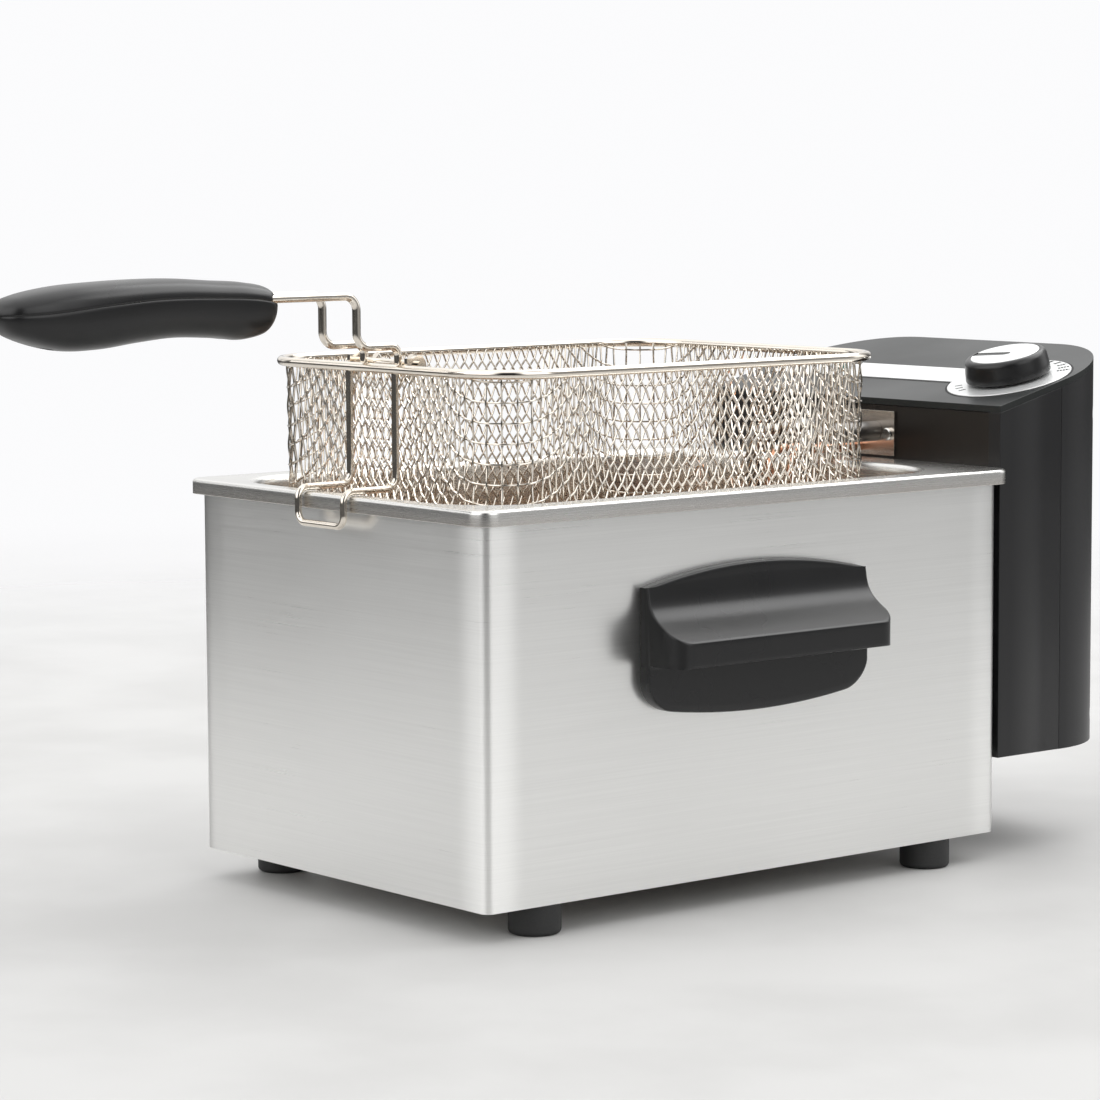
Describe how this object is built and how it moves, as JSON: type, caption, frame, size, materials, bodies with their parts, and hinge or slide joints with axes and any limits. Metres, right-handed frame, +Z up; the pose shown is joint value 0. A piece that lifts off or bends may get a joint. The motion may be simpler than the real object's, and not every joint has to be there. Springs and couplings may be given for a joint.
{
  "type": "deep fryer",
  "caption": "Household deep fryer: stainless case, lift-out oil pan, wire basket hooked on the rim with a folding handle, and a rear control head with element and dial.",
  "frame": {"origin": "on the table, under the middle of the fryer's whole length and width (handle grip to control head)", "axes": "+Z up; +Y along the fryer, from the basket's grip to the control head; +X to the side with the dial"},
  "size_m": [0.25, 0.55, 0.2679],
  "materials": {
    "case_steel": "horizontal brushed grain",
    "pan_steel": "satin drawn steel",
    "bracket_steel": "satin",
    "wire_chrome": "bright nickel-chrome plate",
    "fastener_zinc": "bright zinc",
    "handle_black": "satin moulded",
    "head_black": "fine moulded grain",
    "cover_grey": "semi-gloss moulded",
    "plate_dark": "dark satin coating",
    "trim_silver": "silver lacquer",
    "foot_rubber": "moulded rubber",
    "element_sheath": "oxidised tube",
    "copper_tube": "drawn copper",
    "inner_plastic": "moulded insulator",
    "lens_teal": "clear tinted dome"
  },
  "bodies": {
    "case": {"outer_case": "case_steel", "base_plate": "bracket_steel", "foot_front_left": "foot_rubber", "foot_front_right": "foot_rubber", "foot_rear_left": "foot_rubber", "foot_rear_right": "foot_rubber", "foot_screws": "fastener_zinc", "foot_nuts": "fastener_zinc", "side_handle_left": "handle_black", "side_handle_right": "handle_black", "handle_screws": "fastener_zinc", "guide_bracket": "bracket_steel", "bracket_rivets": "fastener_zinc"},
    "pan": {"oil_pan": "pan_steel"},
    "head": {"head_front_shell": "head_black", "head_rear_cover": "head_black", "head_top_cover": "cover_grey", "rear_cover_screws": "fastener_zinc", "front_plate": "plate_dark", "guide_pocket": "head_black", "element_bracket": "bracket_steel", "bracket_screws": "fastener_zinc", "heating_element": "element_sheath", "element_sleeves": "element_sheath", "element_clips": "bracket_steel", "thermostat_bulb": "copper_tube", "cutout_bulb": "copper_tube", "capillary_tubes": "copper_tube", "thermostat_body": "inner_plastic", "safety_cutout": "inner_plastic", "micro_switch": "inner_plastic", "terminal_block": "inner_plastic", "cord_gland": "head_black", "silver_strip": "trim_silver", "dial_plate": "trim_silver", "pilot_lens": "lens_teal", "pilot_lamp": "inner_plastic"},
    "knob": {"knob": "handle_black", "knob_cap": "trim_silver", "thermostat_shaft": "fastener_zinc"},
    "reset_button": {"reset_button": "handle_black"},
    "basket": {"basket_mesh": "wire_chrome", "basket_rim": "wire_chrome", "rest_hook": "wire_chrome", "pivot_lugs": "wire_chrome", "pivot_rod": "wire_chrome"},
    "basket_handle": {"handle_wire": "wire_chrome", "grip_upper": "handle_black", "grip_lower": "handle_black", "grip_screws": "fastener_zinc"}
  },
  "joints": [
    {"name": "pan_lift", "type": "slide", "parent": "case", "child": "pan", "axis": [0, 0, 1], "range_m": [0, 0.18]},
    {"name": "head_lift", "type": "slide", "parent": "pan", "child": "head", "axis": [0, 0, 1], "range_m": [0, 0.06]},
    {"name": "basket_lift", "type": "slide", "parent": "pan", "child": "basket", "axis": [0, 0, 1], "range_m": [0, 0.2]},
    {"name": "handle_fold", "type": "hinge", "parent": "basket", "child": "basket_handle", "pos_m": [0, -0.08537, 0.229], "axis": [-1, 0, 0], "range_deg": [0, 180]},
    {"name": "knob_turn", "type": "hinge", "parent": "head", "child": "knob", "pos_m": [0.065, 0.2195, 0.21257], "axis": [0, 0.2425, -0.9701], "range_deg": [0, 260]},
    {"name": "reset_press", "type": "slide", "parent": "head", "child": "reset_button", "axis": [0, -1, 0], "range_m": [0, 0.002], "stiffness_N_per_m": 400}
  ]
}
